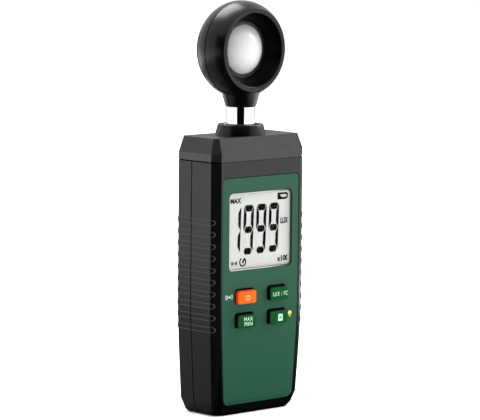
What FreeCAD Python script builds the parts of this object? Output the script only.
import FreeCAD, Part
import math
import os

# Hand-held light meter: a tapering two-part case with a top cap, a swivelling
# round sensor head on a bright stem, a display, four keys and a battery bay.
# Millimetres. +Z is up, the front (display) faces -Y, +X is to the right of a
# reader who faces the display. The origin is on the stem's axis, in the plane
# of the case's foot.

# ---- Allowances that every section uses
FIT = 0.02               # clearance of a screw in its pilot hole or of a seated piece
RUN_FIT = 0.07           # radial clearance of a piece that runs in a bore
SLIP = 0.2               # side clearance of a key or a window in its opening
SCREW_PLAY = 0.15        # radial clearance of a screw in the piece it holds down
ROOT = 0.2               # a post or boss starts this far inside the wall it stands on
PAST = 1.0               # a cutting shape runs this far past what it cuts
NEAR = 0.01              # tolerance for picking edges and heights
LEAST_R = 0.5            # smallest corner radius of a plate

# ---- Driving dimensions: case
CASE_W = 54.8
CASE_D = 27.7
CASE_H = 122.5
WALL = 2.2
CORNER = 3.8             # flat facet on each upright corner, measured across the case
FRONT_FACET_SHARE = 0.71 # a front facet goes down the side by this share of CORNER
PARTING_Y = 1.45         # plane in which the front and rear shells meet
TAPER_TOP = 48.0         # below this height the case grows narrower
TAPER_POWER = 1.3
TAPER_STEPS = 6
SIDE_TAPER = 2.1         # inset of each side at the foot bevel
FRONT_TAPER = 1.0        # the front leans back by this much at the foot bevel
FOOT_Z = 6.5             # top of the foot bevel
FOOT_STEP_Z = 1.5
FOOT_STEP_IN = 1.3
FOOT_IN = 2.5
CAP_BEVEL_H = 6.75
CAP_BEVEL_IN = 2.3
CAP_CORNER = 2.1         # corner facet at the cap's top edge
CAP_H = 10.25            # seam to top face
CAP_LIP_H = 2.3
CAP_LIP_T = 1.2
CAP_LIP_GAP = 0.1        # lip to the inside of the case's wall
CAP_TIE = (0.3, 1.5)     # heights above the seam between which the lip joins the wall
SEAM_W = 0.5
SEAM_DEPTH = 0.45
SEAM_FOOT = 0.1          # depth of the head's seam at the neck's lower edge
RIB_COUNT = 10
RIB_PITCH = 5.23
RIB_H = 2.3
RIB_RAISE = 0.2
RIB_END_FLAT = 0.184     # flat left between the two roundings of a rib's end
RIB_ON_FACET = 0.45      # share of a facet that the ribs' round ends cover
RIB_TOP_DROP = 26.15     # seam to the centre of the top rib

# ---- Front overlay, display window and keys
OVERLAY_W = 45.2
OVERLAY_T = 0.5
OVERLAY_SINK = 0.1       # the overlay's face lies this far inside the case's front
OVERLAY_GAP = 0.3        # dark line around the overlay
OVERLAY_BOTTOM = 4.8
OVERLAY_TOP_DROP = 7.3   # seam to the overlay's top edge
OVERLAY_R_TOP = 2.0
OVERLAY_R_BOTTOM = 3.0
OVERLAY_BAR = 5.0        # length of the bar that is trimmed to the overlay and to its pocket
WINDOW_W = 37.4
WINDOW_H = 34.05
WINDOW_R = 2.0
WINDOW_SINK = 0.2        # the window's face lies this far inside the case's front
GASKET_W = 0.5           # pale ring between the window and the case
GASKET_SINK = 0.1
WINDOW_DROP = 6.65       # overlay top edge to window top edge
GLASS_DEPTH = 1.3        # case front to the display glass
REBATE_STEP = 0.05       # display glass to the step in the wall before it
REBATE_PAST = 0.5        # the frame's rebate is cut this far past the wall's inside
FRAME_EDGE = 2.8         # frame outside, past the window on each side
FRAME_GAP = 0.1          # glass to the frame around it
GLASS_EDGE = 1.15        # display glass, past the window on each side
GLASS_T = 2.2
GUIDE_T = 1.4
GUIDE_SHORT = 1.5        # the light guide ends this far inside the window's edges
LED_HALF_Z = 2.0
LED_GAP = (0.05, 0.1)    # LED to the guide's side, and to its faces
ZEBRA_H = 2.0
KEY_W = 10.8
KEY_H = 6.4
KEY_R = 1.1
KEY_X = 9.6
KEY_UPPER_DROP = 11.4    # window bottom edge to the centre of the upper keys
KEY_PITCH_Z = 10.6
KEY_STAND = 2.4          # key top above the case's front
KEY_TRAVEL = 0.6
KEY_FLANGE = 0.9         # flange past the key on each side
KEY_FLANGE_T = 0.85
KEY_FLANGE_GAP = 0.27    # back of the front wall to the flange's front face
SWITCH_SIZE = 6.0
SWITCH_H = 1.7
PLUNGER_R = 1.6
SWITCH_FLOOR = 0.25      # closed bottom of a switch housing, on the board
PLUNGER_REST_GAP = 0.35  # a pressed plunger stops this far above the board
KEY_EDGE_R = 0.45        # rounding of a key's front edge

# ---- Boards
BOARD_Y = -8.0           # front face of the main board
BOARD_T = 1.6
BOARD_W = 43.0
BOARD_BOTTOM = 15.0
BOARD_TOP_DROP = 9.8     # seam to the board's top edge
BOARD_POST_R = 2.4
BOARD_SCREW_R = 0.95
BOARD_SCREW_X = 19.0
BOARD_SCREW_LOW_Z = 20.0
BOARD_SCREW_LIFT = 4.6   # upper board screws above the upper keys' centres
BOARD_SCREW_HEAD = (1.8, 1.2)
BOARD_PILOT_FLOOR = 0.6  # inside of the front wall to the pilot hole's end
BOARD_TIP_GAP = 0.2      # pilot hole's end to the screw's tip
BOARD_CORNER_R = 1.5
COMPONENT_Z = 22.0       # chip and crystal above the upper keys' centres
CHIP_HALF = 6.0
CHIP_H = 1.5
CRYSTAL_X = (-12.0, -9.0)
CRYSTAL_HALF_Z = 4.0
CRYSTAL_H = 1.2
RADIO_X = (7.0, 19.0)
RADIO_HALF_Z = 8.0
RADIO_DROP = 12.0        # board's top edge to the radio module's centre
RADIO_H = 2.2
CAPACITOR_R = 2.0
CAPACITOR_H = 3.0
CAPACITOR_X = -16.0
CAPACITOR_DROP = 8.0
CAPACITOR_PITCH = 6.0
PLUG_HALF_W = 4.0
PLUG_DROP = 10.0         # board's top edge to the lead connector's upper face
PLUG_TALL = 4.0
PLUG_H = 3.6

# ---- Case screws and tripod socket
CASE_SCREW_R = 1.1
CASE_SCREW_HEAD_R = 2.3
CASE_SCREW_HEAD_H = 1.8
CASE_SCREW_SEAT_Y = 8.0
CASE_HEAD_PLAY = 0.3
CASE_PILOT_FLOOR = 2.2   # inside of the front wall to the pilot hole's end
CASE_TIP_GAP = 0.6       # pilot hole's end to the screw's tip
SLOT_HALF_W = 0.25       # screwdriver slot
SLOT_FLOOR = 0.6         # share of a screw head's height below its slot
CASE_BOSS_R = 3.2
CASE_SCREW_TOP_X = 20.2
CASE_SCREW_TOP_DROP = 5.9
CASE_SCREW_LOW = (13.5, 8.6)
TRIPOD_R = 2.8           # wall radius of the quarter-inch camera thread
TRIPOD_OUT_R = 4.3
TRIPOD_DEPTH = 7.5
TRIPOD_INSET = 0.1
TRIPOD_WALL = 1.6
TRIPOD_FLOOR = 1.2
TRIPOD_ABOVE_DOOR = 14.0

# ---- Battery bay and door
CELL_R = 5.25
CELL_L = 44.5
CELL_COUNT = 3
CELL_PITCH = 11.2
CELL_Y = 4.6
CELL_NUB_R = 1.9
CELL_NUB_H = 0.9
BAY_GAP = 0.35
BAY_BOTTOM = 22.0
BAY_SPRING = 4.0         # room for the leaf springs below the cells
BAY_WALL = 1.8
BAY_FLOOR_T = 1.2
BAY_HEADROOM = 1.0       # room above the cells for the contact plates
BAY_SIDE_EXTRA = 0.6     # the bay's side walls are thicker than the others by this
SPRING_LIFT = 0.2        # bay's bottom to the springs
SPRING_T = 0.4
SPRING_HALF_W = 2.5
SPRING_FOOT_Y = (-4.5, 3.5)    # foot, from the cells' centre plane
SPRING_BEND_Y = (1.3, 2.0)     # where the blade leaves the foot
SPRING_TIP_Y = -1.0
LEG_HALF_W = 0.7
LEG_SLOT_HALF_W = 1.0
LEG_SLOT_H = 0.5
LEG_START_Y = -4.0       # from the cells' centre plane
PLATE_HALF_W = 3.5
PLATE_Z = (0.9, 0.4)     # plate's faces below the bay's top
PLATE_FLOOR_GAP = 0.3
PLATE_REACH_Y = 3.0      # past the cells' centre plane
DOOR_T = 1.85
DOOR_GAP = 0.35
DOOR_BOTTOM = 14.0       # lower edge of the opening that the door fills
DOOR_LEDGE = 0.25        # clearance between the door and the rim it lies on
DOOR_BEVEL = 1.0
DOOR_R = 1.6
DOOR_WIDER = 1.6         # the door covers the bay by this on each side
DOOR_TOP_DROP = 0.3      # top of the bay's wall to the door opening's top
DOOR_PIVOT_IN = 0.35     # pivot inwards of the door's middle plane
DOOR_REBATE = 0.5        # the opening is cut this far past the rim's face
GRIP_COUNT = 3
GRIP_PITCH = 2.2
GRIP_H = 1.0
GRIP_HALF_W = 7.0
GRIP_DEPTH = 0.6
GRIP_ABOVE_SCREW = 6.0
TONGUE_X = 9.0
TONGUE_W = 6.0
TONGUE_T = 1.4
TONGUE_REACH = 3.4
TONGUE_GAP = 0.3         # tongue to the inside of the rear wall
TONGUE_FOOT = 0.7        # a tongue starts this far below the bay's top
TONGUE_STEP = 0.4        # a tongue's thick part ends this far below the door's top edge
TONGUE_SWEEP_GAP = 0.4   # clearance around a tongue that swings
TONGUE_SLOT_Z = (1.0, 6.0)     # slot below and above the bay's top
TONGUE_SLOT_PAST = 0.1
DOOR_SCREW_R = 1.2
DOOR_SCREW_HEAD_R = 2.4
DOOR_SCREW_HEAD_H = 0.95
DOOR_SCREW_Z = 18.0
DOOR_SCREW_REACH = 2.8   # shank past the door's inner face
DOOR_SCREW_PLAY = 0.3
DOOR_SCREW_ROOM = 1.2    # hole past the screw's tip
DOOR_SCREW_SINK = 0.05   # the head lies this far below the door's face
DOOR_SCREW_HEAD_PLAY = 0.1

# ---- Stem and its bush
STEM_R = 6.35
STEM_BORE_R = 5.35
COLLAR_H = 4.65
COLLAR_R_BOTTOM = 11.2
COLLAR_R_TOP = 10.05
COLLAR_DISH_R = 8.4
COLLAR_DISH = 1.0
COLLAR_DISH_SLOPE = 0.4
BUSH_R = 7.9
STEM_GAP = 0.05          # radial running clearance of the stem in its bush
STEM_SHOW = 7.65         # bright stem between collar and neck
STEM_BELOW_CAP = 14.0    # stem's lower end under the cap's top face
BOSS_R = 10.0
BOSS_DEPTH = 9.4         # underside of the cap's boss below the cap's top face
CLIP_T = 0.9
CLIP_R = 8.6
CLIP_GROOVE = 0.5
CLIP_TAB_R = 9.9
WASHER_T = 1.4
SWIVEL_LIMIT = 135.0
TAB_HALF_ANGLE = 10.0
FRONT_WAY = 270.0        # direction of the front about the stem, where the stop is
REAR_WAY = 90.0          # direction of the rear, where the tab rests
STOP_R = (9.1, 11.2)
STOP_SLACK = 1.0         # degrees between tab and stop at the swivel's limit
STOP_BELOW = 0.3         # the stop reaches this far below the clip
CLIP_PLAY = 0.05         # clip in its groove, and washer above the clip
CLIP_TAB_ROOT = 1.0

# ---- Sensor head
HEAD_R = 21.5            # half height and half width of the flattened ball
HEAD_HALF_D = 16.45      # half depth of the whole ball, before its front is cut flat
HEAD_EDGE_R = 13.8       # the ball's outline: an arc of this radius at its edge, a flatter one behind
HEAD_WALL = 1.8
HEAD_ABOVE_NECK = 25.2   # ball centre above the neck's lower end
RIM_Y = -8.8
RIM_IN_R = 16.3
NECK_R = (6.6, 6.9)      # lower edge and just above its small chamfer
NECK_CHAMFER_H = 0.5
NECK_SLOPE_R = 8.3       # radius where the neck meets the ball
NECK_H = 6.3
SOCKET_H = 8.4           # depth of the neck that holds the stem
CLAMP_Z = (3.4, 5.0)     # clamping rib above the neck's lower end
CLAMP_DEPTH = 0.45
CLAMP_PLAY = 0.1
CONE_R = 12.6            # inner end of the conical recess
CONE_Y = -1.8
BEZEL_BACK_Y = 0.8
BEZEL_T = 1.4
BEZEL_GAP = 0.05         # bezel to the shell around it
BEZEL_LIP = 0.2
BEZEL_LIP_Y = (0.1, 1.7) # the lip's faces behind the rim
BEZEL_HOLE_R = 9.6
BEZEL_ROOM = (0.2, 0.35, 0.5)  # shell's clearance behind the lip, round the cone, behind the bezel
BEZEL_POST_R = 1.6
BEZEL_PILOT = 0.7        # pilot hole in front of the bezel's back face
DOME_R = 10.9
DOME_H = 5.0
DOME_WALL = 1.6
DOME_FLANGE_R = 12.4
DOME_FLANGE_T = 0.6
DOME_CROWN = 0.6         # share of DOME_WALL left at the dome's top
RING_GAP = (0.05, 0.1)   # ring to the bezel, and to the dome
RING_T = 0.8
SENSOR_BOARD_R = 12.8
SENSOR_BOARD_Y = 2.6
SENSOR_SCREW_AT = 11.2
SENSOR_SCREW_R = 0.75
SENSOR_SCREW_HEAD = (1.4, 0.9)
SENSOR_SCREW_TIP = 0.5   # tip in front of the bezel's back face
SENSOR_BOARD_PLAY = 0.3
SENSOR_BOARD_ROOM = (1.0, 4.0)  # room cut before and behind the sensor board's front face
FILTER_R = 3.4
FILTER_T = 1.0
DIODE_HALF = 3.0
DIODE_H = 1.2
HEAD_SCREW_AT = 16.7
HEAD_SCREW_R = 1.0
HEAD_SCREW_HEAD = (2.0, 1.4)
HEAD_SCREW_SEAT_Y = 4.0
HEAD_SCREW_TIP_Y = -4.2
HEAD_PILOT_Y = -4.5
HEAD_HEAD_PLAY = 0.2
HEAD_BOSS_R = 2.7
HEAD_BOSS_START = 1.2    # bosses start this far behind the rim
HEAD_BOSS_SKIN = 0.5     # bosses end this far inside the ball's outside
HEAD_REACH = 5.0         # cutting shapes run this far past the ball
THREE_WAYS = (90.0, 210.0, 330.0)
LEAD_R = 0.8
LEAD_OFF_BOARD = 1.2     # the lead clears the sensor board's back by this
LEAD_BEND_SHARE = 0.45   # a bend takes up this share of the shorter run beside it
LEAD_TURN = 0.3          # the upper lead's bend above the sensor board's lower edge
LEAD_FALL = 11.5         # height over which it crosses to the stem's axis
LEAD_SPLIT = 0.5         # space between the two lengths at the stem's foot
LEAD_PLUG_Y = 1.9        # board's back to the lower lead's axis
LEAD_CROSS = (10.0, 5.0) # heights above the plug between which it crosses to the board

# ---- Places worked out from the driving dimensions
FRONT = -CASE_D / 2
REAR = CASE_D / 2
SEAM_Z = CASE_H - CAP_H
OVERLAY_TOP = SEAM_Z - OVERLAY_TOP_DROP
WINDOW_Z = (OVERLAY_TOP - WINDOW_DROP - WINDOW_H, OVERLAY_TOP - WINDOW_DROP)
KEY_UPPER_Z = WINDOW_Z[0] - KEY_UPPER_DROP
KEY_LOWER_Z = KEY_UPPER_Z - KEY_PITCH_Z
KEYS = {
    "power": (-KEY_X, KEY_UPPER_Z),
    "units": (KEY_X, KEY_UPPER_Z),
    "maxmin": (-KEY_X, KEY_LOWER_Z),
    "hold": (KEY_X, KEY_LOWER_Z),
}
POCKET = OVERLAY_SINK + OVERLAY_T
GLASS_Y = FRONT + GLASS_DEPTH
REBATE_Y = GLASS_Y - REBATE_STEP
KEY_BACK_Y = FRONT + WALL + KEY_FLANGE_GAP + KEY_FLANGE_T
PLUNGER_END_Y = BOARD_Y - PLUNGER_REST_GAP - KEY_TRAVEL
BOARD_TOP = SEAM_Z - BOARD_TOP_DROP
BOARD_SCREWS = [
    (side * BOARD_SCREW_X, z)
    for z in (BOARD_SCREW_LOW_Z, KEY_UPPER_Z + BOARD_SCREW_LIFT)
    for side in (-1, 1)
]
BOARD_PILOT_Y = FRONT + WALL + BOARD_PILOT_FLOOR
CASE_PILOT_Y = FRONT + WALL + CASE_PILOT_FLOOR
CASE_SCREW_TOP_Z = SEAM_Z - CASE_SCREW_TOP_DROP
CASE_SCREWS = [
    (side * x, z)
    for x, z in (CASE_SCREW_LOW, (CASE_SCREW_TOP_X, CASE_SCREW_TOP_Z))
    for side in (-1, 1)
]
CELL_XS = [CELL_PITCH * (i - (CELL_COUNT - 1) / 2) for i in range(CELL_COUNT)]
BAY_HALF_W = CELL_XS[-1] + CELL_R + BAY_GAP
BAY_TOP = BAY_BOTTOM + BAY_SPRING + CELL_L + BAY_HEADROOM
BAY_FLOOR_Y = CELL_Y - CELL_R - BAY_GAP
DOOR_TOP = BAY_TOP + BAY_WALL - DOOR_TOP_DROP
DOOR_HALF_W = BAY_HALF_W + DOOR_WIDER
DOOR_INNER_Y = REAR - DOOR_T
BAY_RIM_Y = DOOR_INNER_Y - DOOR_LEDGE
DOOR_SCREW_TIP_Y = DOOR_INNER_Y - DOOR_SCREW_REACH
DOOR_PIVOT = (REAR - DOOR_T / 2 - DOOR_PIVOT_IN, DOOR_TOP - DOOR_GAP)
TONGUE_Y = REAR - WALL - TONGUE_GAP
NECK_Z = CASE_H + COLLAR_H + STEM_SHOW
HEAD_Z = NECK_Z + HEAD_ABOVE_NECK
STEM_BOTTOM_Z = CASE_H - STEM_BELOW_CAP
WASHER_TOP_Z = CASE_H - BOSS_DEPTH
CLIP_TOP_Z = WASHER_TOP_Z - WASHER_T
HEAD_INNER_R = HEAD_R - HEAD_WALL
DOME_BASE_Y = CONE_Y + RING_T


# ---- Basic shapes
def vec(x, y, z):
    return FreeCAD.Vector(x, y, z)


def block(x, y, z):
    """A box between three pairs of (low, high) values."""
    return Part.makeBox(x[1] - x[0], y[1] - y[0], z[1] - z[0], vec(x[0], y[0], z[0]))


def rod(radius, y, x=0.0, z=0.0):
    """A cylinder along Y between two depths, centred at (x, z)."""
    return Part.makeCylinder(radius, y[1] - y[0], vec(x, y[0], z), vec(0, 1, 0))


def post(radius, z):
    """A cylinder along Z on the stem's axis between two heights."""
    return Part.makeCylinder(radius, z[1] - z[0], vec(0, 0, z[0]))


def fuse_all(shapes):
    shapes = list(shapes)
    return shapes[0].multiFuse(shapes[1:]).removeSplitter()


def edges_along_y(shape):
    return [e for e in shape.Edges if abs(e.tangentAt(e.FirstParameter).y) > 0.9]


def plate(width, z, y, radius, centre_x=0.0):
    """A plate that faces Y, with its four corners rounded."""
    half = width / 2
    body = block((centre_x - half, centre_x + half), y, z)
    return body.makeFillet(radius, edges_along_y(body))


def turned_about_y(points, centre_z=0.0):
    """A solid of revolution about Y, from its (radius, y) outline."""
    outline = Part.makePolygon([vec(r, y, centre_z) for r, y in points + points[:1]])
    return Part.Face(outline).revolve(vec(0, 0, centre_z), vec(0, 1, 0), 360)


def turned_about_z(points):
    """A solid of revolution about the stem's axis, from its (radius, z) outline."""
    outline = Part.makePolygon([vec(r, 0, z) for r, z in points + points[:1]])
    return Part.Face(outline).revolve(vec(0, 0, 0), vec(0, 0, 1), 360)


def wedge(radii, z, centre_deg, half_deg):
    """A piece of ring about the stem's axis, around the direction centre_deg."""
    start = math.radians(centre_deg - half_deg)
    outline = [vec(radii[0] * math.cos(start), radii[0] * math.sin(start), z[0]),
               vec(radii[1] * math.cos(start), radii[1] * math.sin(start), z[0])]
    up = [p + vec(0, 0, z[1] - z[0]) for p in reversed(outline)]
    face = Part.Face(Part.makePolygon(outline + up + outline[:1]))
    return face.revolve(vec(0, 0, 0), vec(0, 0, 1), 2 * half_deg)


def about_head(radius, angle):
    """The (x, z) of a point at an angle and a distance from the head's centre."""
    a = math.radians(angle)
    return radius * math.cos(a), HEAD_Z + radius * math.sin(a)


def lead(points, radius):
    """A cable along straight runs joined by arcs that touch both runs."""
    edges = []
    start = points[0]
    for before, corner, after in zip(points, points[1:], points[2:]):
        into = (corner - before)
        out = (after - corner)
        turn = into.getAngle(out)
        reach = LEAD_BEND_SHARE * min(into.Length, out.Length)
        bend = reach / math.tan(turn / 2)
        into.normalize()
        out.normalize()
        first = corner - into * reach
        last = corner + out * reach
        inward = (out - into).normalize()
        middle = corner + inward * (bend / math.cos(turn / 2) - bend)
        edges.append(Part.LineSegment(start, first).toShape())
        edges.append(Part.Arc(first, middle, last).toShape())
        print("lead bend radius", round(bend, 2))
        start = last
    edges.append(Part.LineSegment(start, points[-1]).toShape())
    path = Part.Wire(edges)
    heading = points[1] - points[0]
    ring = Part.Wire(Part.makeCircle(radius, points[0], heading))
    tube = path.makePipeShell([ring], True, False)
    area = math.pi * radius * radius
    print("lead volume over section times length", round(tube.Volume / (area * path.Length), 4))
    return tube


# ---- The case's outer form
def taper(z):
    """Share of the lower taper at height z: 0 above it, 1 at the foot bevel."""
    return (max(0.0, TAPER_TOP - z) / (TAPER_TOP - FOOT_Z)) ** TAPER_POWER


def bevel(z):
    """Extra inset of the foot's two-step bevel or of the cap's bevel."""
    if z < FOOT_STEP_Z:
        return FOOT_STEP_IN + (FOOT_IN - FOOT_STEP_IN) * (1 - z / FOOT_STEP_Z)
    if z < FOOT_Z:
        return FOOT_STEP_IN * (FOOT_Z - z) / (FOOT_Z - FOOT_STEP_Z)
    return CAP_BEVEL_IN * max(0.0, z - CASE_H + CAP_BEVEL_H) / CAP_BEVEL_H


def facet(z):
    """Size of the corner facets, which narrow on the cap's bevel."""
    share = max(0.0, z - CASE_H + CAP_BEVEL_H) / CAP_BEVEL_H
    return CORNER + (CAP_CORNER - CORNER) * share


def case_section(z, offset):
    """The case's eight-sided outline at height z, moved inwards by offset."""
    inset = bevel(z) + offset
    half = CASE_W / 2 - SIDE_TAPER * taper(z) - inset
    front = FRONT + FRONT_TAPER * taper(z) + inset
    rear = REAR - inset
    slope = math.atan(FRONT_FACET_SHARE)
    across = facet(z) - offset * (1 - math.tan(slope / 2))
    deep = facet(z) * FRONT_FACET_SHARE - offset * (1 - math.tan(math.pi / 4 - slope / 2))
    back = facet(z) - offset * (2 - math.sqrt(2))
    right = [(half - across, front), (half, front + deep), (half, rear - back), (half - back, rear)]
    left = [(-x, y) for x, y in reversed(right)]
    points = [vec(x, y, z) for x, y in right + left]
    return Part.makePolygon(points + points[:1])


def case_solid(offset):
    """The whole case, cap included, as a solid moved inwards by offset."""
    low = max(offset, 0.0)
    high = CASE_H - max(offset, 0.0)
    step = (TAPER_TOP - FOOT_Z) / TAPER_STEPS
    levels = [FOOT_STEP_Z] + [FOOT_Z + step * i for i in range(TAPER_STEPS + 1)]
    levels.append(CASE_H - CAP_BEVEL_H)
    inner = [z for z in levels if low + NEAR < z < high - NEAR]
    sections = [case_section(z, offset) for z in [low] + inner + [high]]
    return Part.makeLoft(sections, True, True)


def grip_ribs():
    """Raised bars with round ends, across both sides and onto the corner facets."""
    bare = CORNER * (1 - RIB_ON_FACET)
    span = (FRONT + bare * FRONT_FACET_SHARE, REAR - bare)
    band = case_solid(-RIB_RAISE).cut(case_solid(WALL / 2))
    bars = []
    for i in range(RIB_COUNT):
        z = SEAM_Z - RIB_TOP_DROP - RIB_PITCH * i
        bar = block((-CASE_W, CASE_W), span, (z - RIB_H / 2, z + RIB_H / 2))
        ends = [e for e in bar.Edges if abs(e.tangentAt(e.FirstParameter).x) > 0.9]
        bars.append(bar.makeFillet((RIB_H - RIB_END_FLAT) / 2, ends))
    return band.common(Part.makeCompound(bars))


def seam_groove():
    """The fine groove along the parting line and under the cap."""
    skin = case_solid(-2 * RIB_RAISE).cut(case_solid(SEAM_DEPTH))
    half = SEAM_W / 2
    wide = (-CASE_W, CASE_W)
    upright = block(wide, (PARTING_Y - half, PARTING_Y + half), (-PAST, SEAM_Z))
    level = block(wide, wide, (SEAM_Z - half, SEAM_Z + half))
    return skin.common(upright.fuse(level))


# ---- Outlines on the front
def overlay_prism(grow):
    """The overlay's outline grown by a clearance, as a bar along Y through the front."""
    low = OVERLAY_BOTTOM - grow
    high = OVERLAY_TOP + grow
    step = (TAPER_TOP - low) / TAPER_STEPS
    levels = [low + step * i for i in range(TAPER_STEPS + 1)] + [high]
    right = [(OVERLAY_W / 2 + grow - SIDE_TAPER * taper(z), z) for z in levels]
    left = [(-x, z) for x, z in reversed(right)]
    y = FRONT - PAST
    outline = [vec(x, y, z) for x, z in right + left]
    bar = Part.Face(Part.makePolygon(outline + outline[:1])).extrude(vec(0, OVERLAY_BAR, 0))
    bottom = [e for e in edges_along_y(bar) if e.Vertexes[0].Z < low + NEAR]
    bar = bar.makeFillet(OVERLAY_R_BOTTOM + grow, bottom)
    top = [e for e in edges_along_y(bar) if e.Vertexes[0].Z > high - NEAR]
    return bar.makeFillet(OVERLAY_R_TOP + grow, top)


def window_plate(grow, y):
    z = (WINDOW_Z[0] - grow, WINDOW_Z[1] + grow)
    return plate(WINDOW_W + 2 * grow, z, y, max(WINDOW_R + grow, LEAST_R))


def key_plate(x, z, grow, y):
    high = (z - KEY_H / 2 - grow, z + KEY_H / 2 + grow)
    return plate(KEY_W + 2 * grow, high, y, KEY_R + grow, x)


def front_openings():
    """Window and key openings, as bars along Y through the front wall."""
    through = (FRONT - PAST, FRONT + 2 * WALL)
    bars = [key_plate(x, z, SLIP, through) for x, z in KEYS.values()]
    return bars + [window_plate(SLIP, through)]


# ---- Case pieces
def case_shells():
    """Front shell, rear shell and cap, before their inner features are added."""
    shell = case_solid(0.0).fuse(grip_ribs()).cut(case_solid(WALL)).cut(seam_groove())
    wide = (-CASE_W, CASE_W)
    front = shell.common(block(wide, (-CASE_W, PARTING_Y), (-PAST, SEAM_Z)))
    rear = shell.common(block(wide, (PARTING_Y, CASE_W), (-PAST, SEAM_Z)))
    cap = shell.common(block(wide, wide, (SEAM_Z, CASE_H + PAST)))
    return front, rear, cap


def front_case(shell):
    """Front shell: overlay pocket, window and key openings, posts and screw bosses."""
    wall_y = FRONT + WALL - ROOT
    bosses = [rod(CASE_BOSS_R, (wall_y, PARTING_Y), x, z) for x, z in CASE_SCREWS]
    posts = [rod(BOARD_POST_R, (wall_y, BOARD_Y), x, z) for x, z in BOARD_SCREWS]
    body = fuse_all([shell] + bosses + posts)
    behind = case_solid(0.0).translated(vec(0, POCKET, 0))
    pocket = overlay_prism(OVERLAY_GAP).cut(behind)
    rebate = window_plate(FRAME_EDGE + SLIP, (REBATE_Y, FRONT + WALL + REBATE_PAST))
    case_pilot = (CASE_PILOT_Y, PARTING_Y + PAST)
    board_pilot = (BOARD_PILOT_Y, BOARD_Y + PAST)
    pilots = [rod(CASE_SCREW_R + FIT, case_pilot, x, z) for x, z in CASE_SCREWS]
    pilots += [rod(BOARD_SCREW_R + FIT, board_pilot, x, z) for x, z in BOARD_SCREWS]
    return body.cut([pocket, rebate] + front_openings() + pilots)


def battery_bay():
    """Walls and floor of the bay that holds the cells, and the rim the door lies on."""
    side = BAY_HALF_W + BAY_WALL + BAY_SIDE_EXTRA
    outer = block((-side, side), (BAY_FLOOR_Y - BAY_FLOOR_T, BAY_RIM_Y),
                  (BAY_BOTTOM - BAY_WALL, BAY_TOP + BAY_WALL))
    room = block((-BAY_HALF_W, BAY_HALF_W), (BAY_FLOOR_Y, REAR),
                 (BAY_BOTTOM, BAY_TOP))
    lower_rim = block((-side, side), (BAY_RIM_Y - BAY_WALL, BAY_RIM_Y),
                      (DOOR_BOTTOM - BAY_WALL, BAY_BOTTOM))
    boss = rod(CASE_BOSS_R, (BAY_FLOOR_Y, BAY_RIM_Y), 0, DOOR_SCREW_Z)
    return fuse_all([outer, lower_rim, boss]).cut(room)


def door_outline(grow, y):
    half = DOOR_HALF_W + grow
    z = (DOOR_BOTTOM + DOOR_GAP - grow, DOOR_TOP - DOOR_GAP + grow)
    return plate(2 * half, z, y, DOOR_R)


def rear_case(shell):
    """Rear shell: battery bay, door opening, screw bosses and the tripod boss."""
    wall_y = REAR - WALL + ROOT
    tubes = [rod(CASE_BOSS_R, (PARTING_Y, wall_y), x, z) for x, z in CASE_SCREWS]
    tripod_y = (REAR - TRIPOD_DEPTH - TRIPOD_FLOOR, wall_y)
    tripod = rod(TRIPOD_OUT_R + TRIPOD_WALL, tripod_y, 0, tripod_z())
    body = fuse_all([shell, tripod] + tubes)
    body = body.cut(door_outline(DOOR_GAP, (BAY_RIM_Y - DOOR_REBATE, REAR + PAST)))
    body = body.fuse(battery_bay())
    head_y = (CASE_SCREW_SEAT_Y, REAR + PAST)
    shank_y = (PARTING_Y - PAST, REAR)
    cuts = [rod(CASE_SCREW_HEAD_R + CASE_HEAD_PLAY, head_y, x, z) for x, z in CASE_SCREWS]
    cuts += [rod(CASE_SCREW_R + SLIP, shank_y, x, z) for x, z in CASE_SCREWS]
    cuts.append(rod(TRIPOD_OUT_R + FIT, (REAR - TRIPOD_DEPTH, REAR + PAST), 0, tripod_z()))
    play = DOOR_SCREW_R + DOOR_SCREW_PLAY
    cuts.append(rod(play, (DOOR_SCREW_TIP_Y - DOOR_SCREW_ROOM, REAR), 0, DOOR_SCREW_Z))
    swing = math.hypot(TONGUE_REACH, DOOR_PIVOT[0] - TONGUE_Y + TONGUE_T)
    slot_y = (DOOR_PIVOT[0] - swing - TONGUE_SWEEP_GAP, BAY_RIM_Y + TONGUE_SLOT_PAST)
    slot_z = (BAY_TOP - TONGUE_SLOT_Z[0], BAY_TOP + TONGUE_SLOT_Z[1])
    for side in (-1, 1):
        half = TONGUE_W / 2 + SLIP * 2
        x = (side * TONGUE_X - half, side * TONGUE_X + half)
        cuts.append(block(x, slot_y, slot_z))
    leg_y = (BAY_FLOOR_Y - BAY_FLOOR_T - PAST, BAY_FLOOR_Y + PAST)
    for x in terminal_legs():
        cuts.append(block((x - LEG_SLOT_HALF_W, x + LEG_SLOT_HALF_W), leg_y, leg_slot_z()))
    return body.cut(cuts)


def tripod_z():
    return DOOR_TOP + TRIPOD_ABOVE_DOOR


def terminal_legs():
    """The X of the two battery contacts that reach the main board."""
    return CELL_XS[0], CELL_XS[-1]


def leg_slot_z():
    """Heights of the slot that lets a contact's leg out of the bay."""
    low = BAY_BOTTOM + SPRING_LIFT
    return low - SLIP, low + LEG_SLOT_H + SLIP


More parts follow.
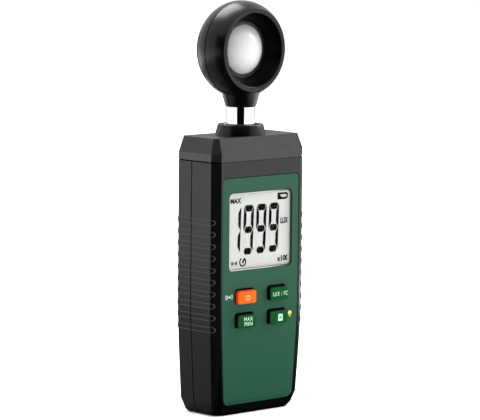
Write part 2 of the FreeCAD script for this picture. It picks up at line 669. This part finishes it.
def top_cap(shell):
    """Cap: boss for the stem's bush, swivel stop and a locating lip."""
    ceiling = CASE_H - WALL
    boss = post(BOSS_R, (WASHER_TOP_Z, ceiling + ROOT))
    half = 180.0 - SWIVEL_LIMIT - TAB_HALF_ANGLE - STOP_SLACK
    stop = wedge(STOP_R, (CLIP_TOP_Z - CLIP_T - STOP_BELOW, ceiling + ROOT), FRONT_WAY, half)
    wide = (-CASE_W, CASE_W)
    core = case_solid(WALL + CAP_LIP_GAP + CAP_LIP_T)
    lip = case_solid(WALL + CAP_LIP_GAP).cut(core)
    lip = lip.common(block(wide, wide, (SEAM_Z - CAP_LIP_H, SEAM_Z + CAP_TIE[1])))
    tie = case_solid(WALL - CAP_LIP_GAP).cut(core)
    tie = tie.common(block(wide, wide, (SEAM_Z + CAP_TIE[0], SEAM_Z + CAP_TIE[1])))
    body = fuse_all([shell, boss, stop, lip, tie])
    return body.cut(post(BUSH_R, (0, CASE_H + PAST)))


def stem_bush():
    """Bearing bush pressed into the cap, with the tapered collar that shows above it."""
    top = CASE_H + COLLAR_H
    outline = [
        (STEM_R + STEM_GAP, WASHER_TOP_Z), (BUSH_R - FIT, WASHER_TOP_Z), (BUSH_R - FIT, CASE_H),
        (COLLAR_R_BOTTOM, CASE_H), (COLLAR_R_TOP, top), (COLLAR_DISH_R, top),
        (COLLAR_DISH_R - COLLAR_DISH_SLOPE, top - COLLAR_DISH), (STEM_R + STEM_GAP, top - COLLAR_DISH),
    ]
    return turned_about_z(outline)


# ---- Front pieces
def front_overlay():
    """Thin printed sheet in the front pocket, open at the window and the keys."""
    outer = case_solid(0.0).translated(vec(0, OVERLAY_SINK, 0))
    inner = case_solid(0.0).translated(vec(0, POCKET, 0))
    sheet = overlay_prism(0.0).common(outer).cut(inner)
    return sheet.cut(front_openings())


def lcd_window():
    """Clear plate in the gasket, on the display glass."""
    return window_plate(-GASKET_W - FIT, (FRONT + WINDOW_SINK, GLASS_Y))


def window_gasket():
    """Pale ring that lines the window opening."""
    y = (FRONT + GASKET_SINK, GLASS_Y)
    return window_plate(0.0, y).cut(window_plate(-GASKET_W, (y[0] - PAST, y[1] + PAST)))


def lcd_frame():
    """Frame around the display glass and its light guide, behind the front wall."""
    back = GLASS_Y + GLASS_T + GUIDE_T
    box = window_plate(FRAME_EDGE, (GLASS_Y, back))
    return box.cut(window_plate(GLASS_EDGE + FRAME_GAP, (GLASS_Y - PAST, back + PAST)))


def lcd_glass():
    return window_plate(GLASS_EDGE, (GLASS_Y, GLASS_Y + GLASS_T))


def light_guide():
    """Backlight slab behind the glass, short of the contact strips above and below."""
    y = (GLASS_Y + GLASS_T, GLASS_Y + GLASS_T + GUIDE_T)
    z = (WINDOW_Z[0] + GUIDE_SHORT, WINDOW_Z[1] - GUIDE_SHORT)
    return plate(WINDOW_W, z, y, LEAST_R)


def backlight_led():
    middle = WINDOW_Z[0] + WINDOW_H / 2
    guide_y = GLASS_Y + GLASS_T
    x = WINDOW_W / 2
    return block((x + LED_GAP[0], x + GLASS_EDGE),
                 (guide_y + LED_GAP[1], guide_y + GUIDE_T - LED_GAP[1]),
                 (middle - LED_HALF_Z, middle + LED_HALF_Z))


def zebra_strips():
    """The two rubber contact strips between the glass and the main board."""
    y = (GLASS_Y + GLASS_T, BOARD_Y)
    half = WINDOW_W / 2 - WINDOW_R
    low = WINDOW_Z[0] - GLASS_EDGE
    high = WINDOW_Z[1] + GLASS_EDGE
    wide = (-half, half)
    spans = ((low, low + ZEBRA_H), (high - ZEBRA_H, high))
    return Part.makeCompound([block(wide, y, z) for z in spans])


def key_cap(x, z):
    """A key: a crowned button with a flange that keeps it inside the case."""
    button = key_plate(x, z, 0.0, (FRONT - KEY_STAND, KEY_BACK_Y))
    face = [e for e in button.Edges if e.BoundBox.YMax < FRONT - KEY_STAND + NEAR]
    button = button.makeFillet(KEY_EDGE_R, face)
    flange = key_plate(x, z, KEY_FLANGE, (KEY_BACK_Y - KEY_FLANGE_T, KEY_BACK_Y))
    return button.fuse(flange).removeSplitter()


def key_plunger(x, z):
    return rod(PLUNGER_R, (KEY_BACK_Y, PLUNGER_END_Y), x, z)


def switch_housings():
    """Square tactile-switch bodies on the main board, bored for their plungers."""
    half = SWITCH_SIZE / 2
    y = (BOARD_Y - SWITCH_H, BOARD_Y)
    boxes = []
    for x, z in KEYS.values():
        box = block((x - half, x + half), y, (z - half, z + half))
        boxes.append(box.cut(rod(PLUNGER_R + RUN_FIT, (y[0] - PAST, BOARD_Y - SWITCH_FLOOR), x, z)))
    return Part.makeCompound(boxes)


# ---- Main board
def main_board():
    y = (BOARD_Y, BOARD_Y + BOARD_T)
    board = plate(BOARD_W, (BOARD_BOTTOM, BOARD_TOP), y, BOARD_CORNER_R)
    through = (y[0] - PAST, y[1] + PAST)
    return board.cut([rod(BOARD_SCREW_R + SCREW_PLAY, through, x, z) for x, z in BOARD_SCREWS])


def on_board_back(x, z, height):
    """A component on the main board's back face."""
    return block(x, (BOARD_Y + BOARD_T, BOARD_Y + BOARD_T + height), z)


def controller_chip():
    z = KEY_UPPER_Z + COMPONENT_Z
    return on_board_back((-CHIP_HALF, CHIP_HALF), (z - CHIP_HALF, z + CHIP_HALF), CHIP_H)


def radio_module():
    z = BOARD_TOP - RADIO_DROP
    return on_board_back(RADIO_X, (z - RADIO_HALF_Z, z + RADIO_HALF_Z), RADIO_H)


def crystal():
    z = KEY_UPPER_Z + COMPONENT_Z
    return on_board_back(CRYSTAL_X, (z - CRYSTAL_HALF_Z, z + CRYSTAL_HALF_Z), CRYSTAL_H)


def capacitors():
    """Two small round capacitors that stand on the board's back."""
    y = (BOARD_Y + BOARD_T, BOARD_Y + BOARD_T + CAPACITOR_H)
    top = BOARD_TOP - CAPACITOR_DROP
    return Part.makeCompound(
        [rod(CAPACITOR_R, y, CAPACITOR_X, z) for z in (top, top - CAPACITOR_PITCH)])


def lead_connector():
    """Socket that takes the sensor lead from above."""
    z = BOARD_TOP - PLUG_DROP
    return on_board_back((-PLUG_HALF_W, PLUG_HALF_W), (z - PLUG_TALL, z), PLUG_H)


def screw(radius, head_radius, head_height, seat_y, tip_y, x, z):
    """A pan-head screw along Y whose head lies on the +Y side of its seat."""
    shank = rod(radius, (tip_y, seat_y), x, z)
    head = rod(head_radius, (seat_y, seat_y + head_height), x, z)
    slot = block((x - head_radius, x + head_radius),
                 (seat_y + head_height * SLOT_FLOOR, seat_y + head_height + PAST),
                 (z - SLOT_HALF_W, z + SLOT_HALF_W))
    return shank.fuse(head).cut(slot)


def board_screws():
    seat = BOARD_Y + BOARD_T
    return Part.makeCompound([
        screw(BOARD_SCREW_R, *BOARD_SCREW_HEAD, seat, BOARD_PILOT_Y + BOARD_TIP_GAP, x, z)
        for x, z in BOARD_SCREWS])


def case_screws():
    return Part.makeCompound([
        screw(CASE_SCREW_R, CASE_SCREW_HEAD_R, CASE_SCREW_HEAD_H, CASE_SCREW_SEAT_Y,
              CASE_PILOT_Y + CASE_TIP_GAP, x, z) for x, z in CASE_SCREWS])


def tripod_insert():
    """Brass insert with the camera thread, drawn as a plain bore at its pitch radius."""
    y = (REAR - TRIPOD_DEPTH, REAR - TRIPOD_INSET)
    bore = rod(TRIPOD_R, (y[0] - PAST, y[1] + PAST), 0, tripod_z())
    return rod(TRIPOD_OUT_R, y, 0, tripod_z()).cut(bore)


# ---- Battery bay contents
def battery_cell(index):
    """One cell; every second one stands the other way up."""
    x = CELL_XS[index]
    low = BAY_BOTTOM + BAY_SPRING
    body = Part.makeCylinder(CELL_R, CELL_L - CELL_NUB_H, vec(x, CELL_Y, low))
    nub = Part.makeCylinder(CELL_NUB_R, CELL_NUB_H, vec(x, CELL_Y, low + CELL_L - CELL_NUB_H))
    cell = body.fuse(nub)
    if index % 2 == 0:
        return cell
    return cell.mirror(vec(x, CELL_Y, low + CELL_L / 2), vec(0, 0, 1))


def leaf_spring(x):
    """A bent strip that presses on the lower end of a cell."""
    low = BAY_BOTTOM + SPRING_LIFT
    top = BAY_BOTTOM + BAY_SPRING
    front, rear = SPRING_FOOT_Y
    under, over = SPRING_BEND_Y
    outline = [
        (front, low), (rear, low), (rear, low + SPRING_T), (over, low + SPRING_T),
        (SPRING_TIP_Y, top), (SPRING_TIP_Y - SPRING_T, top),
        (under, low + SPRING_T), (front, low + SPRING_T),
    ]
    points = [vec(x - SPRING_HALF_W, CELL_Y + y, z) for y, z in outline]
    return Part.Face(Part.makePolygon(points + points[:1])).extrude(vec(2 * SPRING_HALF_W, 0, 0))


def battery_springs():
    """Three leaf springs; the outer two have legs down to the main board."""
    springs = [leaf_spring(x) for x in CELL_XS]
    for i, x in ((0, CELL_XS[0]), (-1, CELL_XS[-1])):
        low = BAY_BOTTOM + SPRING_LIFT
        leg = block((x - LEG_HALF_W, x + LEG_HALF_W),
                    (BOARD_Y + BOARD_T, CELL_Y + LEG_START_Y), (low, low + SPRING_T))
        springs[i] = springs[i].fuse(leg).removeSplitter()
    return Part.makeCompound(springs)


def battery_plates():
    """Flat contact plates above the cells."""
    z = (BAY_TOP - PLATE_Z[0], BAY_TOP - PLATE_Z[1])
    y = (BAY_FLOOR_Y + PLATE_FLOOR_GAP, CELL_Y + PLATE_REACH_Y)
    return Part.makeCompound([block((x - PLATE_HALF_W, x + PLATE_HALF_W), y, z) for x in CELL_XS])


# ---- Door
def battery_door():
    """Door with two tongues above and a countersunk hole for its captive screw."""
    panel = door_outline(0.0, (DOOR_INNER_Y, REAR))
    top = DOOR_TOP - DOOR_GAP
    rim = [e for e in panel.Edges
           if e.BoundBox.YMin > REAR - NEAR and e.BoundBox.ZMin > top - NEAR]
    panel = panel.makeChamfer(DOOR_BEVEL, rim)
    tongues = []
    for side in (-1, 1):
        x = (side * TONGUE_X - TONGUE_W / 2, side * TONGUE_X + TONGUE_W / 2)
        inner = TONGUE_Y - TONGUE_T
        foot = BAY_TOP - TONGUE_FOOT
        tongues.append(block(x, (inner, DOOR_INNER_Y + ROOT), (foot, top - TONGUE_STEP)))
        tongues.append(block(x, (inner, TONGUE_Y), (foot, top + TONGUE_REACH)))
    body = fuse_all([panel] + tongues)
    seat = REAR - DOOR_SCREW_HEAD_H
    hole = rod(DOOR_SCREW_R + FIT, (DOOR_INNER_Y - PAST, REAR + PAST), 0, DOOR_SCREW_Z)
    sink = rod(DOOR_SCREW_HEAD_R + DOOR_SCREW_HEAD_PLAY, (seat, REAR + PAST), 0, DOOR_SCREW_Z)
    return body.cut([hole, sink] + door_grips())


def door_grips():
    """Shallow finger grooves near the door's lower edge."""
    cuts = []
    for i in range(GRIP_COUNT):
        z = DOOR_SCREW_Z + GRIP_ABOVE_SCREW + GRIP_PITCH * i
        wide = (-GRIP_HALF_W, GRIP_HALF_W)
        cuts.append(block(wide, (REAR - GRIP_DEPTH, REAR + PAST), (z, z + GRIP_H)))
    return cuts


def door_screw():
    return screw(DOOR_SCREW_R, DOOR_SCREW_HEAD_R, DOOR_SCREW_HEAD_H - DOOR_SCREW_SINK,
                 REAR - DOOR_SCREW_HEAD_H, DOOR_SCREW_TIP_Y, 0, DOOR_SCREW_Z)


# ---- Stem
def stem_tube():
    """Bright tube: grooves for the clip at its foot and for the head's clamp above."""
    top = NECK_Z + SOCKET_H
    tube = post(STEM_R, (STEM_BOTTOM_Z, top)).cut(post(STEM_BORE_R, (0, top + PAST)))
    clamp = (NECK_Z + CLAMP_Z[0] - CLAMP_PLAY, NECK_Z + CLAMP_Z[1] + CLAMP_PLAY)
    clip = (CLIP_TOP_Z - CLIP_T - CLIP_PLAY, CLIP_TOP_Z + CLIP_PLAY)
    for depth, z in ((CLAMP_DEPTH, clamp), (CLIP_GROOVE, clip)):
        ring = post(STEM_R + PAST, z).cut(post(STEM_R - depth, z))
        tube = tube.cut(ring)
    return tube


def stem_clip():
    """Ring clip in the stem's groove, with the tab that meets the swivel stop."""
    z = (CLIP_TOP_Z - CLIP_T, CLIP_TOP_Z)
    ring = post(CLIP_R, z)
    tab = wedge((CLIP_R - CLIP_TAB_ROOT, CLIP_TAB_R), z, REAR_WAY, TAB_HALF_ANGLE)
    return ring.fuse(tab).cut(post(STEM_R - CLIP_GROOVE + FIT, z)).removeSplitter()


def friction_washer():
    z = (CLIP_TOP_Z + CLIP_PLAY, WASHER_TOP_Z)
    return post(CLIP_R, z).cut(post(STEM_R + RUN_FIT, z))


# ---- Sensor head
def ball(shrink, front_y):
    """The flattened ball, shrunk all round and cut flat at front_y."""
    edge_x = HEAD_R - HEAD_EDGE_R
    back_r = (HEAD_R**2 + HEAD_HALF_D**2 - 2 * HEAD_R * HEAD_EDGE_R) / (2 * (HEAD_HALF_D - HEAD_EDGE_R))
    back_y = HEAD_HALF_D - back_r
    join = math.atan2(-back_y, edge_x)
    radius = HEAD_EDGE_R - shrink
    start = math.asin(front_y / radius)

    def on_edge(angle):
        return vec(edge_x + radius * math.cos(angle), radius * math.sin(angle), HEAD_Z)

    def on_back(angle):
        reach = back_r - shrink
        return vec(reach * math.cos(angle), back_y + reach * math.sin(angle), HEAD_Z)

    pole = vec(0, HEAD_HALF_D - shrink, HEAD_Z)
    middle = vec(0, front_y, HEAD_Z)
    outline = [
        Part.LineSegment(middle, on_edge(start)).toShape(),
        Part.Arc(on_edge(start), on_edge((start + join) / 2), on_edge(join)).toShape(),
        Part.Arc(on_edge(join), on_back((join + math.pi / 2) / 2), pole).toShape(),
        Part.LineSegment(pole, middle).toShape(),
    ]
    return Part.Face(Part.Wire(outline)).revolve(vec(0, 0, HEAD_Z), vec(0, 1, 0), 360)


def neck():
    """The neck below the ball, running up into it."""
    slope = (NECK_SLOPE_R - NECK_R[1]) / (NECK_H - NECK_CHAMFER_H)
    top = SOCKET_H
    top_r = NECK_R[1] + slope * (top - NECK_CHAMFER_H)
    outline = [(0, 0), (NECK_R[0], 0), (NECK_R[1], NECK_CHAMFER_H), (top_r, top), (0, top)]
    return turned_about_z([(r, NECK_Z + z) for r, z in outline])


def stem_socket():
    """The bore that holds the stem, with its clamping rib left standing."""
    clamp = (NECK_Z + CLAMP_Z[0], NECK_Z + CLAMP_Z[1])
    socket = post(STEM_R + FIT, (NECK_Z - PAST, NECK_Z + SOCKET_H + PAST))
    rib = post(STEM_R + PAST, clamp).cut(post(STEM_R - CLAMP_DEPTH + FIT, clamp))
    return socket.cut(rib)


def head_body():
    """Both head shells as one, before they are parted."""
    room = ball(HEAD_WALL, RIM_Y - PAST).cut(neck())
    inside = ball(HEAD_BOSS_SKIN, RIM_Y + HEAD_BOSS_SKIN)
    bosses = []
    for angle in THREE_WAYS:
        x, z = about_head(HEAD_SCREW_AT, angle)
        bosses.append(rod(HEAD_BOSS_R, (RIM_Y + HEAD_BOSS_START, HEAD_HALF_D), x, z).common(inside))
    body = ball(0.0, RIM_Y).fuse(neck()).cut(room)
    return fuse_all([body] + bosses).cut(stem_socket())


def head_seam():
    """The fine groove around the head where its two shells meet."""
    half = SEAM_W / 2
    reach = HEAD_R + HEAD_REACH
    slab = block((-reach, reach), (-half, half), (NECK_Z - PAST, HEAD_Z + reach))
    core = ball(SEAM_DEPTH, RIM_Y)
    shrunk_neck = turned_about_z([
        (0, NECK_Z - PAST), (NECK_R[0] - SEAM_FOOT, NECK_Z - PAST), (NECK_R[0] - SEAM_FOOT, NECK_Z),
        (NECK_SLOPE_R - SEAM_DEPTH, NECK_Z + NECK_H), (NECK_SLOPE_R, NECK_Z + SOCKET_H),
        (0, NECK_Z + SOCKET_H)])
    return slab.cut(core).cut(shrunk_neck)


def head_shells():
    """Front shell, open for the bezel, and rear shell with its screw holes."""
    body = head_body().cut(head_seam())
    wide = (-HEAD_R - HEAD_REACH, HEAD_R + HEAD_REACH)
    tall = (NECK_Z - PAST, HEAD_Z + HEAD_R + HEAD_REACH)
    front = body.common(block(wide, (-HEAD_R, 0), tall))
    rear = body.common(block(wide, (0, HEAD_R), tall))
    lip_gap, cone_gap, back_gap = BEZEL_ROOM
    back = BEZEL_BACK_Y + back_gap
    bezel_room = turned_about_y([
        (0, RIM_Y - PAST), (RIM_IN_R, RIM_Y - PAST), (RIM_IN_R, RIM_Y + BEZEL_LIP_Y[1] + lip_gap),
        (CONE_R + BEZEL_T + cone_gap, back), (0, back)], HEAD_Z)
    cuts_front = [bezel_room]
    cuts_rear = [bezel_room]
    for angle in THREE_WAYS:
        x, z = about_head(HEAD_SCREW_AT, angle)
        cuts_front.append(rod(HEAD_SCREW_R + FIT, (HEAD_PILOT_Y, PAST), x, z))
        cuts_rear.append(rod(HEAD_SCREW_R + SCREW_PLAY, (-PAST, HEAD_R), x, z))
        sink_r = HEAD_SCREW_HEAD[0] + HEAD_HEAD_PLAY
        cuts_rear.append(rod(sink_r, (HEAD_SCREW_SEAT_Y, HEAD_R), x, z))
    before, behind = SENSOR_BOARD_ROOM
    board_y = (SENSOR_BOARD_Y - before, SENSOR_BOARD_Y + behind)
    board_room = rod(SENSOR_BOARD_R + SENSOR_BOARD_PLAY, board_y, 0, HEAD_Z)
    return front.cut(cuts_front), rear.cut(cuts_rear + [board_room])


def sensor_bezel():
    """Glossy conical recess around the dome, with posts for the sensor board."""
    lip = RIM_IN_R - BEZEL_GAP
    lip_front = RIM_Y + BEZEL_LIP_Y[0]
    floor = DOME_BASE_Y + DOME_FLANGE_T
    outline = [
        (lip - BEZEL_LIP, lip_front), (CONE_R, CONE_Y), (CONE_R, floor), (BEZEL_HOLE_R, floor),
        (BEZEL_HOLE_R, BEZEL_BACK_Y), (CONE_R + BEZEL_T, BEZEL_BACK_Y),
        (lip, RIM_Y + BEZEL_LIP_Y[1]), (lip, lip_front),
    ]
    posts = []
    pilots = []
    for angle in THREE_WAYS:
        x, z = about_head(SENSOR_SCREW_AT, angle)
        posts.append(rod(BEZEL_POST_R, (BEZEL_BACK_Y - ROOT, SENSOR_BOARD_Y), x, z))
        pilot_y = (BEZEL_BACK_Y - BEZEL_PILOT, SENSOR_BOARD_Y + PAST)
        pilots.append(rod(SENSOR_SCREW_R + FIT, pilot_y, x, z))
    return fuse_all([turned_about_y(outline, HEAD_Z)] + posts).cut(pilots)


def dome_ring():
    """Matt ring that keeps the dome in the bezel."""
    y = (CONE_Y, DOME_BASE_Y)
    outside = rod(CONE_R - RING_GAP[0], y, 0, HEAD_Z)
    return outside.cut(rod(DOME_R + RING_GAP[1], y, 0, HEAD_Z))


def cap_of_ball(radius, height, base_y):
    """A low dome towards -Y with the given base radius and height."""
    ball_r = (radius * radius + height * height) / (2 * height)
    centre_y = base_y - height + ball_r
    whole = Part.makeSphere(ball_r, vec(0, centre_y, HEAD_Z))
    return whole.common(rod(ball_r + PAST, (base_y - height - PAST, base_y), 0, HEAD_Z))


def diffuser_dome():
    """White hollow dome with a thin flange under the ring."""
    back = DOME_BASE_Y + DOME_FLANGE_T
    outside = fuse_all([
        cap_of_ball(DOME_R, DOME_H, CONE_Y),
        rod(DOME_R, (CONE_Y, back), 0, HEAD_Z),
        rod(DOME_FLANGE_R, (DOME_BASE_Y, back), 0, HEAD_Z)])
    inner_r = DOME_R - DOME_WALL
    hollow = cap_of_ball(inner_r, DOME_H - DOME_WALL * DOME_CROWN, CONE_Y)
    return outside.cut([hollow, rod(inner_r, (CONE_Y, back + PAST), 0, HEAD_Z)])


def filter_disc():
    back = SENSOR_BOARD_Y - DIODE_H
    return rod(FILTER_R, (back - FILTER_T, back), 0, HEAD_Z)


def photodiode():
    y = (SENSOR_BOARD_Y - DIODE_H, SENSOR_BOARD_Y)
    return block((-DIODE_HALF, DIODE_HALF), y, (HEAD_Z - DIODE_HALF, HEAD_Z + DIODE_HALF))


def sensor_board():
    y = (SENSOR_BOARD_Y, SENSOR_BOARD_Y + BOARD_T)
    board = rod(SENSOR_BOARD_R, y, 0, HEAD_Z)
    holes = []
    for angle in THREE_WAYS:
        x, z = about_head(SENSOR_SCREW_AT, angle)
        holes.append(rod(SENSOR_SCREW_R + SCREW_PLAY, (y[0] - PAST, y[1] + PAST), x, z))
    return board.cut(holes)


def sensor_screws():
    seat = SENSOR_BOARD_Y + BOARD_T
    tip = BEZEL_BACK_Y - SENSOR_SCREW_TIP
    screws = []
    for angle in THREE_WAYS:
        x, z = about_head(SENSOR_SCREW_AT, angle)
        screws.append(screw(SENSOR_SCREW_R, *SENSOR_SCREW_HEAD, seat, tip, x, z))
    return Part.makeCompound(screws)


def head_screws():
    screws = []
    for angle in THREE_WAYS:
        x, z = about_head(HEAD_SCREW_AT, angle)
        screws.append(screw(HEAD_SCREW_R, *HEAD_SCREW_HEAD, HEAD_SCREW_SEAT_Y, HEAD_SCREW_TIP_Y, x, z))
    return Part.makeCompound(screws)


# ---- Sensor lead, in two lengths that meet on the swivel's axis
def upper_lead():
    """From the sensor board's back, past its lower edge and down the stem."""
    y = SENSOR_BOARD_Y + BOARD_T + LEAD_R + LEAD_OFF_BOARD
    turn_z = HEAD_Z - SENSOR_BOARD_R + LEAD_TURN
    return lead([vec(0, y, HEAD_Z), vec(0, y, turn_z), vec(0, 0, turn_z - LEAD_FALL),
                 vec(0, 0, STEM_BOTTOM_Z + LEAD_SPLIT)], LEAD_R)


def lower_lead():
    """From the stem's foot to the connector on the main board."""
    y = BOARD_Y + BOARD_T + LEAD_PLUG_Y
    plug_z = BOARD_TOP - PLUG_DROP
    leave, arrive = LEAD_CROSS
    return lead([vec(0, 0, STEM_BOTTOM_Z), vec(0, 0, plug_z + leave),
                 vec(0, y, plug_z + arrive), vec(0, y, plug_z)], LEAD_R)


# ---- All nodes
def build_nodes():
    front_shell, rear_shell, cap_shell = case_shells()
    head_front, head_rear = head_shells()
    nodes = {
        "front_case": front_case(front_shell),
        "rear_case": rear_case(rear_shell),
        "top_cap": top_cap(cap_shell),
        "stem_bush": stem_bush(),
        "front_overlay": front_overlay(),
        "lcd_window": lcd_window(),
        "window_gasket": window_gasket(),
        "lcd_frame": lcd_frame(),
        "lcd_glass": lcd_glass(),
        "light_guide": light_guide(),
        "backlight_led": backlight_led(),
        "zebra_strips": zebra_strips(),
        "main_board": main_board(),
        "controller_chip": controller_chip(),
        "radio_module": radio_module(),
        "crystal": crystal(),
        "capacitors": capacitors(),
        "lead_connector": lead_connector(),
        "switch_housings": switch_housings(),
        "board_screws": board_screws(),
        "case_screws": case_screws(),
        "tripod_insert": tripod_insert(),
        "battery_springs": battery_springs(),
        "battery_plates": battery_plates(),
        "battery_door": battery_door(),
        "door_screw": door_screw(),
        "stem_tube": stem_tube(),
        "stem_clip": stem_clip(),
        "friction_washer": friction_washer(),
        "head_front_shell": head_front,
        "head_rear_shell": head_rear,
        "sensor_bezel": sensor_bezel(),
        "dome_ring": dome_ring(),
        "diffuser_dome": diffuser_dome(),
        "filter_disc": filter_disc(),
        "photodiode": photodiode(),
        "sensor_board": sensor_board(),
        "sensor_screws": sensor_screws(),
        "head_screws": head_screws(),
        "upper_lead": upper_lead(),
        "lower_lead": lower_lead(),
    }
    for index in range(CELL_COUNT):
        nodes["battery_cell_%d" % (index + 1)] = battery_cell(index)
    for name, (x, z) in KEYS.items():
        nodes["key_" + name] = key_cap(x, z)
        nodes["plunger_" + name] = key_plunger(x, z)
    return nodes


os.makedirs("parts", exist_ok=True)
for node, shape in build_nodes().items():
    shape.exportStep("parts/%s.step" % node)
    print(node, len(shape.Solids), round(shape.Volume, 1), shape.isValid())
print("door pivot y, z", DOOR_PIVOT)
print("head centre z", HEAD_Z)
